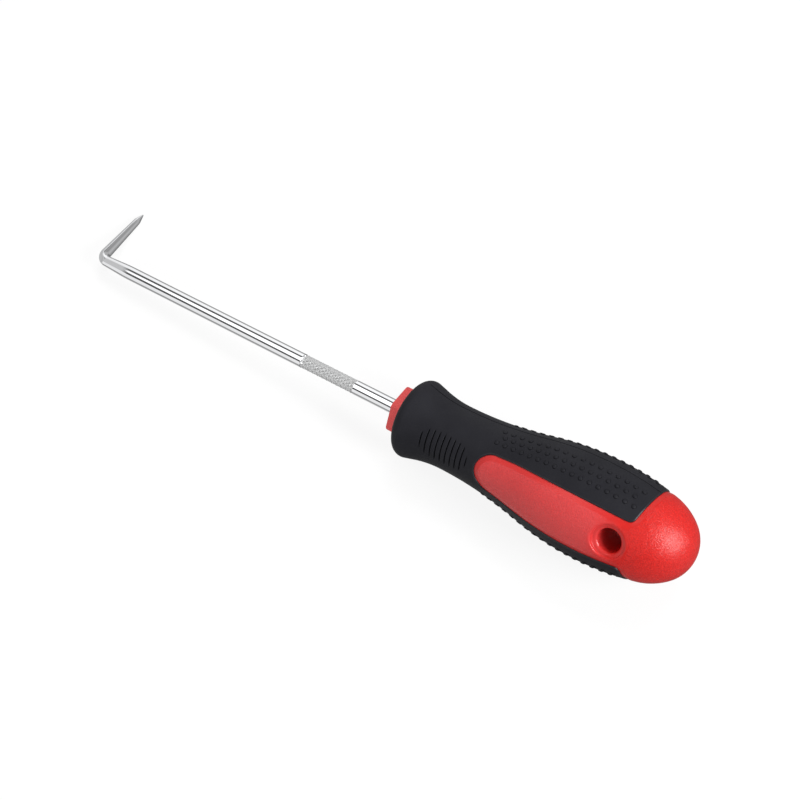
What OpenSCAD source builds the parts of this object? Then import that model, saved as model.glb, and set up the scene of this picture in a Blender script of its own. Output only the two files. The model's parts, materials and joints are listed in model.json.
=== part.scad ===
// O-ring pick: a hard-chromed steel pick with its end bent square and pointed, moulded into a
// two-colour handle. The red core is one hard plastic moulding with a hexagon at the front, two side
// panels and the butt, and the black soft grip is moulded round it.
// In the tool frame the axis is Z, the hexagon's face is at 0, the pick points to -Z and lies along +X.

/* [Pick] */
// Diameter of the plated rod
shaft_d = 5; // [4:0.1:6.5]
// Hexagon's face to the middle of the bent arm
shaft_len = 133.3; // [100:0.1:170]
// Middle of the rod to the tip of the arm
arm_len = 24; // [18:0.5:34]
// Diameter of the arm where it leaves the bend
arm_root_d = 3.9; // [2.6:0.1:4]
// Diameter of the arm where its point starts
arm_end_d = 2.5; // [2:0.1:3.2]
// Length of the conical point
point_len = 3.4; // [2:0.1:6]
// Diameter of the blunted tip
tip_d = 0.4; // [0.2:0.05:0.8]
// Radius of the bend on its middle line
bend_r = 2.8; // [2.4:0.1:4.5]
// Length of the taper from the rod down to the bend
taper_len = 10; // [5:0.5:20]
// Length of the knurled band
knurl_len = 22; // [10:0.5:35]
// Hexagon's face to the knurled band
knurl_gap = 18.6; // [8:0.1:40]
// Height that the knurl stands above the rod
knurl_rise = 0.02; // [0:0.01:0.2]
// Depth of the crossing grooves of the knurl
knurl_depth = 0.4; // [0.3:0.05:0.6]
// Distance from one tooth of the knurl to the next along the rod
knurl_pitch = 2; // [1.6:0.1:3]
// Teeth of the knurl round the rod
knurl_teeth = 12; // [10:1:16]
// Length of the tang inside the handle
tang_len = 61; // [41:1:67]
// Width over the two pinched wings of the tang
wing_w = 8; // [6.8:0.1:9.5]
// Thickness of the wings
wing_t = 2; // [1.4:0.1:3]
// Length of the wings
wing_len = 12; // [8:0.5:18]
// Hexagon's face to the front of the wings
wing_at = 35.5; // [25.5:0.5:39.5]

/* [Handle form] */
// Hexagon's face to the butt
handle_len = 110.8; // [99.9:0.1:126.9]
// Radius of the flared collar
collar_r = 13.7; // [13:0.1:15]
// Hexagon's face to the widest place of the collar
collar_at = 7.4; // [7.2:0.1:9.4]
// Radius of the collar's rounded shoulder
collar_round = 3.1; // [2.8:0.1:4]
// Radius of the neck at its thinnest place
neck_r = 11.3; // [10.6:0.1:12.2]
// Hexagon's face to the thinnest place of the neck
neck_at = 22.2; // [20.4:0.1:25.4]
// Radius of the fillet between collar and neck
neck_fillet = 41; // [24:1:48]
// Radius of the belly at its fattest place
belly_r = 17.1; // [16:0.1:18.5]
// Butt to the fattest place of the belly
belly_back = 35.5; // [32:0.5:38]
// Radius of the belly's long curve
belly_curve = 102; // [80:1:120]
// Butt to where the belly turns into the dome
hip_back = 14; // [13:0.1:15]
// Radius of the curve that turns the belly into the dome
hip_curve = 21; // [20:0.5:28]

/* [Core] */
// Hexagon of the bolster across its flats
hex_af = 15.7; // [14:0.1:18]
// Hexagon across its blunted corners
hex_corner = 17.6; // [16.5:0.1:19]
// Turn of the side panels about the axis, from the arm
panel_turn = 146.5; // [0:0.5:180]
// Angle from the middle of a side panel to its edge
panel_half = 31.5; // [28:0.5:35]
// Hexagon's face to the front of the side panels
panel_front = 36.4; // [35:0.1:41.4]
// Depth of the red surface below the black one
panel_step = 0.1; // [0.1:0.05:0.5]
// Diameter of the hanging hole
hole_d = 8; // [5:0.1:9]
// Diameter of the recess round the hanging hole
recess_d = 11.2; // [9.6:0.1:12]
// Depth of the recess at its middle
recess_depth = 1.4; // [1.2:0.1:2]
// Butt to the middle of the hanging hole
hole_back = 23.1; // [21:0.1:25]

/* [Grip] */
// Thickness of the black grip over the core
grip_wall = 2.5; // [2:0.1:2.7]
// Butt to the corners at the end of the black tongues
tongue_back = 18; // [16.5:0.1:19]
// Slant of the end of a tongue
tongue_slant = 12; // [0:1:20]
// Radius of the rounded corners of the tongues
tongue_round = 1.8; // [1:0.1:2.6]
// Hexagon's face to the front of the ribbed thumb rest
thumb_at = 14.4; // [12.4:0.1:15.4]
// Length of the thumb rest
thumb_len = 19; // [12:0.5:19.5]
// Width of the thumb rest
thumb_w = 10; // [8:0.5:11]
// Distance from one thumb groove to the next
groove_pitch = 1.95; // [1.6:0.05:2.6]
// Radius of a thumb groove
groove_r = 0.45; // [0.3:0.05:0.6]
// Distance from one pip to the next along a row
pip_pitch = 3.15; // [2.4:0.05:4]
// Diameter of a pip where it leaves the grip
pip_d = 1.6; // [1:0.1:1.8]
// Height of a pip
pip_rise = 0.3; // [0.2:0.05:0.5]
// Hexagon's face to the front pips
pip_from = 40.1; // [38:0.1:45]
// Angle from the middle of a side panel to the nearest row of pips
pip_turn = 50; // [46:0.5:54]
// Angle between two rows of pips
pip_step = 11.5; // [9:0.5:13]

/* [Hidden] */
$fn = 96;
// Segments of the panels' long shallow edges
curve_fn = 720;
// Angle of the dome that its small flat end takes up
butt_flat = 4;
// How far a straight length of the profile may lie from its arc
chord_error = 0.012;
// Reach of a cutting shape past the handle
past = 30;
// Length of the knurl's ends inside the rod
knurl_lap = 0.3;

// Handle profile: centres of its arcs as [radius, height]
belly_at = handle_len - belly_back;
hip_at = handle_len - hip_back;
collar_c = [collar_r - collar_round, collar_at];
fillet_c = [neck_r + neck_fillet, neck_at];
belly_c = [belly_r - belly_curve, belly_at];
swell = belly_r - neck_r;
neck_curve = ((belly_at - neck_at) ^ 2 + swell ^ 2) / (2 * swell) - belly_curve;
neck_c = [neck_r + neck_curve, neck_at];
hip_dir = [sqrt(belly_curve ^ 2 - (hip_at - belly_at) ^ 2), hip_at - belly_at] / belly_curve;
hip_c = belly_c + hip_dir * (belly_curve - hip_curve);
hip_reach = handle_len - hip_c[1];
dome_r = (hip_curve ^ 2 - hip_reach ^ 2 - hip_c[0] ^ 2) / (2 * (hip_curve - hip_reach));
dome_c = [0, handle_len - dome_r];

// Angles of the normals where one arc of the profile runs into the next
function turn_of(v) = atan2(v[1], v[0]);
function unit(v) = v / norm(v);
belly_angle = turn_of(neck_c - belly_c);
hip_angle = turn_of(hip_dir);
dome_angle = turn_of(dome_c - hip_c);
slope_span = fillet_c - collar_c;
slope_angle = turn_of(slope_span) - acos((collar_round + neck_fillet) / norm(slope_span));
function at_turn(c, r, angle) = c + r * [cos(angle), sin(angle)];
// Points of an arc of the profile after its first one; a hollow arc has a negative radius
function arc(c, r, from, to) = let (
    steps = ceil(abs(to - from) * PI / 180 * sqrt(abs(r) / (8 * chord_error)))
  ) [for (i = [1 : steps]) at_turn(c, r, from + (to - from) * i / steps)];

// Radius of the black surface along the neck
function neck_radius(z) = let (
    c = z < neck_at ? fillet_c : neck_c,
    r = z < neck_at ? neck_fillet : neck_curve
  ) c[0] - sqrt(r ^ 2 - (z - neck_at) ^ 2);
// Radius of the black surface along the belly
function belly_radius(z) = belly_c[0] + sqrt(belly_curve ^ 2 - (z - belly_at) ^ 2);
// Radius of the black surface along the rows of pips
function grip_radius(z) =
  z < belly_c[1] + belly_curve * sin(belly_angle) ? neck_radius(z) : belly_radius(z);

// Side panel, as [half width, height]: its round front, its curved edge and the tongue's corner
function panel_w(r) = r * sin(panel_half);
function front_fit(w, steps) = steps == 0 ? w : front_fit(panel_w(neck_radius(panel_front + w)), steps - 1);
front_round = front_fit(panel_w(neck_r), 6);
corner_z = handle_len - tongue_back;
edge_front = [front_round, panel_front + front_round];
edge_mid = [panel_w(belly_r), belly_at];
corner = [panel_w(belly_radius(corner_z)), corner_z];
function through(a, b, c) = let (
    d = 2 * (a[0] * (b[1] - c[1]) + b[0] * (c[1] - a[1]) + c[0] * (a[1] - b[1]))
  ) [
    a * a * (b[1] - c[1]) + b * b * (c[1] - a[1]) + c * c * (a[1] - b[1]),
    a * a * (c[0] - b[0]) + b * b * (a[0] - c[0]) + c * c * (b[0] - a[0])
  ] / d;
edge_c = through(edge_front, edge_mid, corner);
edge_curve = norm(edge_mid - edge_c);
function end_at(y) = corner[1] + (y - corner[0]) * tan(tongue_slant);
// Rounding of the tongue's corner, which touches the panel's edge and the end of the tongue
end_dir = [cos(tongue_slant), sin(tongue_slant)];
end_normal = [sin(tongue_slant), -cos(tongue_slant)];
round_line = corner + end_normal * tongue_round;
round_back = (round_line - edge_c) * end_dir;
round_off = (edge_curve + tongue_round) ^ 2 - norm(round_line - edge_c) ^ 2;
round_c = round_line + end_dir * (sqrt(round_back ^ 2 + round_off) - round_back);
round_edge = edge_c + unit(round_c - edge_c) * edge_curve;
round_end = round_c - end_normal * tongue_round;
recess_floor = belly_radius(handle_len - hole_back) - panel_step - recess_depth;

// Rows of pips in the four bands, as turns from the panel's middle and from the arm
pip_rows = [for (side = [0, 180], hand = [-1, 1], row = [0 : 2])
  [side + hand * (pip_turn + row * pip_step), row]];
pip_turns = [for (r = pip_rows) panel_turn + r[0]];
// Sphere of a pip, sunk until it leaves the grip at its diameter
pip_ball = (pip_d ^ 2 / 4 + pip_rise ^ 2) / (2 * pip_rise);

// Rest: the handle lies on its collar and on a row of pips, and the arm dips until it meets the same plane
function pitch_on(reach) = let (
    x = belly_at - collar_at,
    y = collar_c[0] - reach + belly_curve
  ) asin((belly_curve - collar_round) / norm([x, y])) - atan2(y, x);
function height_of(p) = collar_round + collar_c[0] * cos(p) - collar_at * sin(p);
function dip_to(p, reach, radius) = let (
    h = height_of(p) - shaft_len * sin(p),
    run = reach * cos(p)
  ) asin(h / norm([run, radius])) - atan2(radius, run);
function dip_of(p) = min(dip_to(p, arm_len, tip_d / 2), dip_to(p, arm_len - point_len, arm_end_d / 2));
function reach_at(turn) = max([belly_r, each [for (t = pip_turns) (belly_r + pip_rise) * cos(t - turn)]]);
pitch = pitch_on(reach_at(dip_of(pitch_on(belly_r)) - 90));
axis_h = height_of(pitch);
dip = dip_of(pitch);
rest_min = [-(shaft_len + arm_root_d / 2) * cos(pitch), -reach_at(dip + 180)];
rest_max = [(handle_len - dome_r) * cos(pitch) + dome_r, arm_len * cos(dip)];
rest_mid = (rest_min + rest_max) / 2;

// Lay the tool as it comes to rest, with the middle of its footprint at the origin
module at_rest()
  translate([-rest_mid[0], -rest_mid[1], axis_h])
    rotate([0, -pitch, 0])
      rotate([90, 0, 90])
        rotate([0, 0, -dip])
          children();

// Half section of the handle, all its surface set back by inset
module handle_profile(inset) {
  front = collar_at - collar_round + inset;
  polygon([
    [0, front],
    each arc(collar_c, collar_round - inset, -90, slope_angle),
    each arc(fillet_c, -neck_fillet - inset, slope_angle, 0),
    each arc(neck_c, -neck_curve - inset, 0, belly_angle),
    each arc(belly_c, belly_curve - inset, belly_angle, hip_angle),
    each arc(hip_c, hip_curve - inset, hip_angle, dome_angle),
    each arc(dome_c, dome_r - inset, dome_angle, 90 - butt_flat),
    [0, dome_c[1] + (dome_r - inset) * cos(butt_flat)]
  ]);
}

module handle_form(inset) rotate_extrude() handle_profile(inset);

// A prism across the handle, square to the side panels
module across() rotate([90, 0, 90]) linear_extrude(2 * past, center = true) children();

module both_sides() {
  children();
  mirror([1, 0]) children();
}

// Fills the corner where a panel's edge runs into the end of a tongue, up to the tongue's rounding
module tongue_corner()
  difference() {
    polygon([round_c, 2 * round_edge - round_c, 2 * corner - round_c, 2 * round_end - round_c]);
    translate(round_c) circle(tongue_round);
  }

// What shows red from the side: the panel with its round front, and all past the tongues
module red_outline() {
  translate([0, panel_front + front_round]) circle(front_round);
  intersection() {
    translate([-past, panel_front + front_round]) square([2 * past, corner[1] - panel_front]);
    translate(edge_c) circle(edge_curve, $fn = curve_fn);
    mirror([1, 0]) translate(edge_c) circle(edge_curve, $fn = curve_fn);
  }
  polygon([
    corner, [past, end_at(past)], [past, handle_len + past],
    [-past, handle_len + past], [-past, end_at(past)], [-corner[0], corner[1]]
  ]);
  both_sides() tongue_corner();
}

module hexagon()
  intersection() {
    circle(d = hex_af / cos(30), $fn = 6);
    rotate(30) circle(d = hex_corner / cos(30), $fn = 6);
  }

// The rod's end inside the handle, with two wings pinched out of it against turning
module tang() {
  cylinder(d = shaft_d, h = tang_len);
  translate([-wing_w / 2, -wing_t / 2, wing_at]) cube([wing_w, wing_t, wing_len]);
}

module hanging_hole() {
  rotate([0, 90, 0]) cylinder(d = hole_d, h = 2 * past, center = true);
  for (side = [0, 180])
    rotate([0, 90, side]) translate([0, 0, recess_floor]) cylinder(d = recess_d, h = past);
}

// The core without its cavities
module core_blank() {
  linear_extrude(collar_at) rotate(30) hexagon();
  handle_form(grip_wall);
  intersection() {
    handle_form(panel_step);
    across() red_outline();
  }
}

module thumb_outline() {
  for (z = [thumb_at + thumb_w / 2, thumb_at + thumb_len - thumb_w / 2])
    translate([0, z]) circle(d = thumb_w);
  translate([-thumb_w / 2, thumb_at + thumb_w / 2]) square([thumb_w, thumb_len - thumb_w]);
}

module thumb_grooves()
  intersection() {
    for (z = [thumb_at + groove_pitch / 2 : groove_pitch : thumb_at + thumb_len - groove_r])
      rotate_extrude() translate([neck_radius(z), z]) circle(groove_r, $fn = 24);
    across() thumb_outline();
  }

// Staggered rows of round pips on each tongue
module pips()
  for (r = pip_rows)
    for (z = [pip_from + r[1] % 2 * pip_pitch / 2 : pip_pitch : corner_z - pip_d])
      rotate(r[0])
        translate([grip_radius(z) + pip_rise - pip_ball, 0, z]) sphere(pip_ball, $fn = 24);

// Diamond knurl: pyramids between two crossing sets of grooves, its ends sunk into the rod
module knurl() {
  rows = 2 * round(knurl_len / knurl_pitch);
  around = 2 * knurl_teeth;
  peak = shaft_d / 2 + knurl_rise;
  valley = peak - knurl_depth;
  function low(i, k) = k == 0 || k == rows || (i + k) % 2 == 0;
  function lap(k) = k == 0 ? -knurl_lap : k == rows ? knurl_lap : 0;
  function at(i, k) = k * around + i % around;
  points = [for (k = [0 : rows], i = [0 : around - 1])
    [each at_turn([0, 0], low(i, k) ? valley : peak, i * 360 / around), k * knurl_len / rows + lap(k)]];
  sides = [for (k = [0 : rows - 1], i = [0 : around - 1])
    each (i + k) % 2 == 0
      ? [[at(i, k), at(i + 1, k + 1), at(i + 1, k)], [at(i, k), at(i, k + 1), at(i + 1, k + 1)]]
      : [[at(i, k), at(i, k + 1), at(i + 1, k)], [at(i + 1, k), at(i, k + 1), at(i + 1, k + 1)]]];
  ends = [[for (i = [0 : around - 1]) i], [for (i = [around - 1 : -1 : 0]) at(i, rows)]];
  polyhedron(points, concat(sides, ends));
}

// Rod, knurled band, taper, bend, arm and point, all drawn from one bar
module pick_shaft() color([0.8, 0.81, 0.83]) at_rest() {
  bend_z = bend_r - shaft_len;
  taper_z = bend_z + taper_len;
  knurl_z = -knurl_gap - knurl_len;
  tang();
  translate([0, 0, -knurl_gap]) cylinder(d = shaft_d, h = knurl_gap);
  translate([0, 0, knurl_z]) knurl();
  translate([0, 0, taper_z]) cylinder(d = shaft_d, h = knurl_z - taper_z);
  translate([0, 0, bend_z]) cylinder(d1 = arm_root_d, d2 = shaft_d, h = taper_len);
  translate([bend_r, 0, bend_z]) rotate([90, 180, 0])
    rotate_extrude(angle = 90) translate([bend_r, 0]) circle(d = arm_root_d);
  translate([bend_r, 0, -shaft_len]) rotate([0, 90, 0]) {
    arm_h = arm_len - point_len - bend_r;
    cylinder(d1 = arm_root_d, d2 = arm_end_d, h = arm_h);
    translate([0, 0, arm_h]) cylinder(d1 = arm_end_d, d2 = tip_d, h = point_len);
  }
}

// Hard red plastic: hexagon, side panels, butt and the hanging hole, moulded round the tang
module handle_core() color([0.85, 0.17, 0.16]) at_rest()
  difference() {
    rotate(panel_turn) difference() {
      core_blank();
      translate([0, 0, handle_len - hole_back]) hanging_hole();
    }
    tang();
  }

// Soft black grip moulded over the core, open at the side panels, with ribbed thumb rests
module grip_sleeve() color([0.17, 0.17, 0.18]) at_rest() rotate(panel_turn)
  difference() {
    union() {
      handle_form(0);
      pips();
    }
    core_blank();
    across() red_outline();
    thumb_grooves();
  }

pick_shaft();
handle_core();
grip_sleeve();
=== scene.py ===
import json
import math

import bmesh
import bpy
from mathutils import Matrix, Vector


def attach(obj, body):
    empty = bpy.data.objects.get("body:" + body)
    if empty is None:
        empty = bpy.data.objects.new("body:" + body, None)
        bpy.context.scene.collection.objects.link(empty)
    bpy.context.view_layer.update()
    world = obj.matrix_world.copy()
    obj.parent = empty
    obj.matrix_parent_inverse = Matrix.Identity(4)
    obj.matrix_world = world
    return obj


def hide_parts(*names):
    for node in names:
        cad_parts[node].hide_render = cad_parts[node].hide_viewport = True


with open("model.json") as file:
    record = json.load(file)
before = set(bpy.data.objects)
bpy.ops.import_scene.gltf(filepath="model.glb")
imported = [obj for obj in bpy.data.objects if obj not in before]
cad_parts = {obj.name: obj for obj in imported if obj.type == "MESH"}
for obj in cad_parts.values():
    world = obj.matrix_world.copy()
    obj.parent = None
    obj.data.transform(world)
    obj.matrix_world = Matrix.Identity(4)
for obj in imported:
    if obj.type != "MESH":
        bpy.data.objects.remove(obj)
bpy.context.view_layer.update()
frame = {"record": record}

# PICK
# One hard-chromed steel bar, held in the handle at its rear end, drawn down at its free end, bent square and
# ground to a point. It is modelled in mm in the tool's own frame: the axis is Z, the face of the handle's
# hexagon is at 0, and the arm points along +X.
SHAFT_R = 2.5
TANG_LEN = 61.0
SHAFT_LEN = 133.3
TAPER_LEN = 10.0
TAPER_BLEND = 2.0
BEND_R = 2.8
BEND_Z = BEND_R - SHAFT_LEN
TAPER_Z = BEND_Z + TAPER_LEN
ARM_R = 1.95
ARM_END_R = 1.25
ARM_LEN = 24.0
POINT_LEN = 3.4
POINT_X = ARM_LEN - POINT_LEN
POINT_RINGS = [(0.1, 0.05), (0.6, 0.2)]  # distance past the start of the point, loss of radius
TIP_RINGS = [(0.3, 0.3), (0.12, 0.22), (0.03, 0.13), (0.0, 0.02)]  # distance from the tip, radius
KNURL_LEN = 22.0
KNURL_TOP = -18.6
KNURL_END = KNURL_TOP - KNURL_LEN
KNURL_SEAT_R = 2.0
KNURL_SHOULDER = 0.01
ROD_EDGE = 0.12
ROD_AROUND = 96
TAPER_ROWS = 24
BEND_ROWS = 24

# The hanging hole shows how the tool lies: the hole's axis is square to the tool's, and the tool's axis
# has no sideways slope.
HANDLE_LEN = 110.8
HOLE_BACK = 23.1
HOLE_AT = HANDLE_LEN - HOLE_BACK
PANEL_TURN = math.radians(146.5)
hole = next(m for m in frame["record"]["mounts"] if m["name"] == "hanging_hole")
panel_way = Vector(hole["axis"])
pitch = math.atan2(-panel_way.x, panel_way.z)
axis_way = Vector((math.cos(pitch), 0.0, math.sin(pitch)))
turned = Matrix((panel_way, axis_way.cross(panel_way), axis_way)).transposed().to_4x4()
face_place = Vector(hole["pos_m"]) - axis_way * HOLE_AT / 1000
HANDLE_REST = Matrix.Translation(face_place) @ turned @ Matrix.Scale(0.001, 4)
PICK_REST = HANDLE_REST @ Matrix.Rotation(-PANEL_TURN, 4, "Z")


def begin():
    """Nothing stays selected, so that the next operators act on the new piece alone."""
    if bpy.context.object and bpy.context.object.mode != "OBJECT":
        bpy.ops.object.mode_set(mode="OBJECT")
    bpy.ops.object.select_all(action="DESELECT")


def named(name):
    """Names the new object and its mesh."""
    obj = bpy.context.object
    obj.name = name
    obj.data.name = name
    return obj


def choose(obj, test):
    """In edit mode, selects the points of obj that pass the test, and what lies between them."""
    bm = bmesh.from_edit_mesh(obj.data)
    bpy.ops.mesh.select_all(action="DESELECT")
    for v in bm.verts:
        if test(v.co):
            v.select_set(True)
    bm.select_flush(True)
    bmesh.update_edit_mesh(obj.data)


def draw_out(move, centre, grow):
    """Extrudes the chosen ring by move, then grows it about its new centre."""
    bpy.ops.mesh.extrude_region_move(TRANSFORM_OT_translate={"value": move})
    bpy.ops.transform.resize(value=grow, center_override=centre)


def weld(obj, gap=0.0005):
    """Merges the doubles of a finished mesh in mm and turns its faces outwards."""
    bpy.ops.object.mode_set(mode="EDIT")
    bpy.ops.mesh.select_all(action="SELECT")
    bpy.ops.mesh.remove_doubles(threshold=gap)
    bpy.ops.mesh.dissolve_degenerate(threshold=gap / 5)
    bpy.ops.mesh.select_all(action="SELECT")
    bpy.ops.mesh.normals_make_consistent(inside=False)
    bpy.ops.object.mode_set(mode="OBJECT")


def lay_down(obj, rest, crease):
    """Puts a piece where it lies, with its place in its mesh, and smooths all but its creases."""
    begin()
    obj.select_set(True)
    bpy.context.view_layer.objects.active = obj
    obj.matrix_world = rest
    bpy.ops.object.transform_apply(location=True, rotation=True, scale=True)
    bpy.ops.object.shade_smooth_by_angle(angle=math.radians(crease))


def finish_of(name):
    """A new material, its nodes, links and shader."""
    mat = bpy.data.materials.new(name)
    mat.use_nodes = True
    nodes, links = mat.node_tree.nodes, mat.node_tree.links
    return mat, nodes, links, nodes["Principled BSDF"]


def dress(piece, material):
    """Gives a piece its finish and joins it to the tool."""
    piece.data.materials.clear()
    piece.data.materials.append(material)
    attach(piece, "root")


def steps(start, stop, count):
    """Even steps from start to stop, both of them included."""
    return [start + (stop - start) * i / count for i in range(count + 1)]


def taper_radius(z):
    """Radius towards the rod's free end, where it runs into its taper without a crease."""
    slope = (SHAFT_R - ARM_R) / TAPER_LEN
    t = TAPER_Z - z
    if t < -TAPER_BLEND:
        return SHAFT_R
    if t < TAPER_BLEND:
        return SHAFT_R - slope * (t + TAPER_BLEND) ** 2 / (4 * TAPER_BLEND)
    return SHAFT_R - slope * t


def arm_radius(x):
    """The arm thins evenly from the bend to its point."""
    return ARM_R + (ARM_END_R - ARM_R) * (x - BEND_R) / (POINT_X - BEND_R)


begin()
bpy.ops.mesh.primitive_circle_add(vertices=ROD_AROUND, radius=SHAFT_R, fill_type="NGON",
                                  location=(0, 0, TANG_LEN))
pick = named("pick")
bpy.ops.object.transform_apply(location=True)
bpy.ops.object.mode_set(mode="EDIT")
rod_rings = [  # place along the axis, radius
    (KNURL_TOP + ROD_EDGE, SHAFT_R),
    (KNURL_TOP, SHAFT_R - ROD_EDGE),
    (KNURL_TOP - KNURL_SHOULDER, KNURL_SEAT_R),
    (KNURL_END + KNURL_SHOULDER, KNURL_SEAT_R),
    (KNURL_END, SHAFT_R - ROD_EDGE),
    (KNURL_END - ROD_EDGE, SHAFT_R),
]
taper_from = TAPER_Z + TAPER_BLEND
rod_rings += [(z, taper_radius(z)) for z in steps(taper_from, BEND_Z, TAPER_ROWS)]
choose(pick, lambda co: True)
z_now, r_now = TANG_LEN, SHAFT_R
for z, r in rod_rings:
    draw_out((0, 0, z - z_now), (0, 0, z), (r / r_now, r / r_now, 1))
    z_now, r_now = z, r
bpy.ops.mesh.spin(steps=BEND_ROWS, angle=math.radians(90), center=(BEND_R, 0, BEND_Z), axis=(0, 1, 0))
arm_rings = [(x, arm_radius(x)) for x in (*range(6, 20, 2), POINT_X - 0.5)]
arm_rings += [(POINT_X + past, ARM_END_R - loss) for past, loss in POINT_RINGS]
arm_rings += [(ARM_LEN - back, r) for back, r in TIP_RINGS]
choose(pick, lambda co: abs(co.x - BEND_R) < 1e-3 and co.z < BEND_Z)
x_now, r_now = BEND_R, ARM_R
for x, r in arm_rings:
    draw_out((x - x_now, 0, 0), (x, 0, -SHAFT_LEN), (1, r / r_now, r / r_now))
    x_now, r_now = x, r
bpy.ops.mesh.edge_face_add()
weld(pick)
lay_down(pick, PICK_REST, crease=28)

# Bright plate over a bar that was drawn and ground, so that its fine lines run along it.
chrome, nodes, links, shader = finish_of("plated_steel")
shader.inputs["Base Color"].default_value = (0.93, 0.935, 0.95, 1)
shader.inputs["Metallic"].default_value = 1.0
coord = nodes.new("ShaderNodeTexCoord")
along_rod = nodes.new("ShaderNodeMapping")
along_rod.inputs["Scale"].default_value = (60.0, 5200.0, 5200.0)
draw_lines = nodes.new("ShaderNodeTexNoise")
draw_lines.inputs["Scale"].default_value = 1.0
draw_lines.inputs["Detail"].default_value = 2.0
rough = nodes.new("ShaderNodeMapRange")
rough.inputs["To Min"].default_value = 0.04
rough.inputs["To Max"].default_value = 0.11
links.new(coord.outputs["Object"], along_rod.inputs["Vector"])
links.new(along_rod.outputs["Vector"], draw_lines.inputs["Vector"])
links.new(draw_lines.outputs["Fac"], rough.inputs["Value"])
links.new(rough.outputs["Result"], shader.inputs["Roughness"])
dress(pick, chrome)
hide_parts("pick_shaft")


# KNURL
# A diamond knurl rolled into the rod where the fingers turn it: two crossing sets of grooves leave rows of
# small pyramids, whose points the rolling leaves a little blunt. The plating is frosted here.
KNURL_TEETH = 12
KNURL_PITCH = 2.0
KNURL_RISE = 0.02
KNURL_DEPTH = 0.4
KNURL_AROUND = 2 * KNURL_TEETH
KNURL_ROWS = 2 * round(KNURL_LEN / KNURL_PITCH)
KNURL_PEAK_R = SHAFT_R + KNURL_RISE
KNURL_VALLEY_R = KNURL_PEAK_R - KNURL_DEPTH
KNURL_BLUNT = 0.16
KNURL_LAP = 0.3
begin()
bpy.ops.mesh.primitive_circle_add(vertices=KNURL_AROUND, radius=KNURL_VALLEY_R, fill_type="NGON",
                                  location=(0, 0, KNURL_END - KNURL_LAP))
knurl = named("knurl")
bpy.ops.object.transform_apply(location=True)
bpy.ops.object.mode_set(mode="EDIT")
bpy.ops.mesh.select_all(action="SELECT")
row_step = KNURL_LEN / KNURL_ROWS
for row in range(1, KNURL_ROWS + 1):
    rise = row_step + (KNURL_LAP if row in (1, KNURL_ROWS) else 0.0)
    bpy.ops.mesh.extrude_region_move(TRANSFORM_OT_translate={"value": (0, 0, rise)})
    bm = bmesh.from_edit_mesh(knurl.data)
    for v in bm.verts:
        if v.select:
            column = round(math.atan2(v.co.y, v.co.x) / math.tau * KNURL_AROUND)
            peak = (column + row) % 2 == 1 and row < KNURL_ROWS
            v.co.xy = v.co.xy.normalized() * (KNURL_PEAK_R if peak else KNURL_VALLEY_R)
    bmesh.update_edit_mesh(knurl.data)
bpy.ops.mesh.select_all(action="SELECT")
bpy.ops.mesh.quads_convert_to_tris(quad_method="SHORTEST_DIAGONAL", ngon_method="BEAUTY")
choose(knurl, lambda co: co.xy.length > KNURL_PEAK_R - KNURL_DEPTH / 2)
bpy.ops.mesh.bevel(affect="VERTICES", offset=KNURL_BLUNT, segments=1)
weld(knurl)
lay_down(knurl, PICK_REST, crease=12)

frosted, nodes, links, shader = finish_of("frosted_knurl")
shader.inputs["Base Color"].default_value = (0.98, 0.983, 0.985, 1)
shader.inputs["Metallic"].default_value = 1.0
coord = nodes.new("ShaderNodeTexCoord")
frost_and_sheen = nodes.new("ShaderNodeTexNoise")
frost_and_sheen.inputs["Scale"].default_value = 5000.0
frost_and_sheen.inputs["Detail"].default_value = 3.0
rough = nodes.new("ShaderNodeMapRange")
rough.inputs["To Min"].default_value = 0.34
rough.inputs["To Max"].default_value = 0.5
links.new(coord.outputs["Object"], frost_and_sheen.inputs["Vector"])
links.new(frost_and_sheen.outputs["Fac"], rough.inputs["Value"])
links.new(rough.outputs["Result"], shader.inputs["Roughness"])
dress(knurl, frosted)


# BOLSTER
# The front of the red core: a hexagon with blunt corners that stops the tool rolling and takes a spanner.
# It is moulded in one with the core, round the rod, from a hard red plastic with a fine spark-eroded grain.
HEX_AF = 15.7
HEX_FLAT = HEX_AF / 2
HEX_LEN = 8.0
HEX_BLUNT = 0.8
HEX_EDGE = 0.35
ROD_WELL_R = 3.1
ROD_WELL_DEPTH = 0.4
ROD_WELL_SLOPE = 0.2
ROD_LAP = 0.1
begin()
bpy.ops.mesh.primitive_cylinder_add(vertices=6, radius=HEX_FLAT / math.cos(math.radians(30)),
                                    depth=HEX_LEN, location=(0, 0, HEX_LEN / 2))
bolster = named("bolster")
bpy.ops.object.transform_apply(location=True)
bpy.ops.object.mode_set(mode="EDIT")
bm = bmesh.from_edit_mesh(bolster.data)
bpy.ops.mesh.select_all(action="DESELECT")
for e in bm.edges:
    if abs(e.verts[0].co.z - e.verts[1].co.z) > HEX_LEN / 2:
        e.select_set(True)
bmesh.update_edit_mesh(bolster.data)
bpy.ops.mesh.bevel(offset=HEX_BLUNT, segments=4)
choose(bolster, lambda co: co.z < 0.01)
bpy.ops.mesh.bevel(offset=HEX_EDGE, segments=3)
bm = bmesh.from_edit_mesh(bolster.data)
bpy.ops.mesh.select_all(action="DESELECT")
for f in bm.faces:
    f.select_set(f.normal.z < -0.99 and f.calc_area() > HEX_FLAT ** 2)
bmesh.update_edit_mesh(bolster.data)
well_rings = [
    (ROD_WELL_R, 0.0),
    (ROD_WELL_R - ROD_WELL_SLOPE, ROD_WELL_DEPTH),
    (SHAFT_R - ROD_LAP, ROD_WELL_DEPTH),
]
for reach, z in well_rings:
    bpy.ops.mesh.extrude_region_move()
    bm = bmesh.from_edit_mesh(bolster.data)
    for v in bm.verts:
        if v.select:
            v.co.xy = v.co.xy.normalized() * reach
            v.co.z = z
    bmesh.update_edit_mesh(bolster.data)
weld(bolster)
lay_down(bolster, HANDLE_REST, crease=24)

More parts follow.
